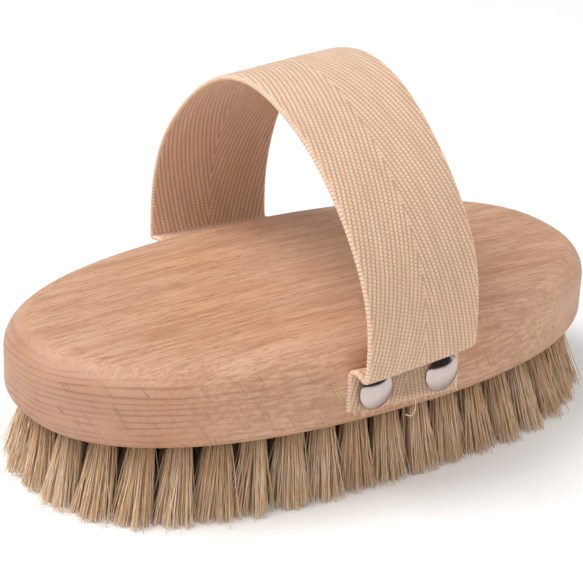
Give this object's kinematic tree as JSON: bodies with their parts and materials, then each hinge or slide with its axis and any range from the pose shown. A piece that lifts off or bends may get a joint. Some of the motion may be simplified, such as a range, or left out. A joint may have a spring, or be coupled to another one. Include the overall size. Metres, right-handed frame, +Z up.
{
  "type": "body dry brush",
  "caption": "Oval hand brush: rounded beech block filled with natural bristle tufts under it, with a cotton webbing hand strap tacked to both long sides.",
  "frame": {"origin": "centre of the plane that the trimmed bristle tips stand on", "axes": "+X along the oval block, +Y across it to one tacked side, +Z up through the block to the hand strap"},
  "size_m": [0.14, 0.0838, 0.0802],
  "materials": {
    "beech": "oiled, fine sanded",
    "bristle": "natural light bristle",
    "anchor_wire": "flat drawn wire",
    "nickel": "polished nickel plating",
    "nail_steel": "bright steel",
    "webbing": "herringbone woven cotton"
  },
  "bodies": {
    "brush": {"centre_row_anchors": "anchor_wire", "centre_row_tufts": "bristle", "front_left_tack_cap": "nickel", "front_left_tack_nail": "nail_steel", "front_right_tack_cap": "nickel", "front_right_tack_nail": "nail_steel", "rear_left_tack_cap": "nickel", "rear_left_tack_nail": "nail_steel", "rear_right_tack_cap": "nickel", "rear_right_tack_nail": "nail_steel", "ring_1_anchors": "anchor_wire", "ring_1_tufts": "bristle", "ring_2_anchors": "anchor_wire", "ring_2_tufts": "bristle", "ring_3_anchors": "anchor_wire", "ring_3_tufts": "bristle", "ring_4_anchors": "anchor_wire", "ring_4_tufts": "bristle", "strap_front_end": "webbing", "strap_rear_end": "webbing", "wooden_block": "beech"},
    "strap": {"hand_strap": "webbing"}
  },
  "joints": [
    {"name": "strap_lean", "type": "hinge", "parent": "brush", "child": "strap", "pos_m": [0, 0, 0.0305], "axis": [0, 1, 0], "range_deg": [-20, 20], "stiffness_Nm_per_rad": 0.02}
  ]
}
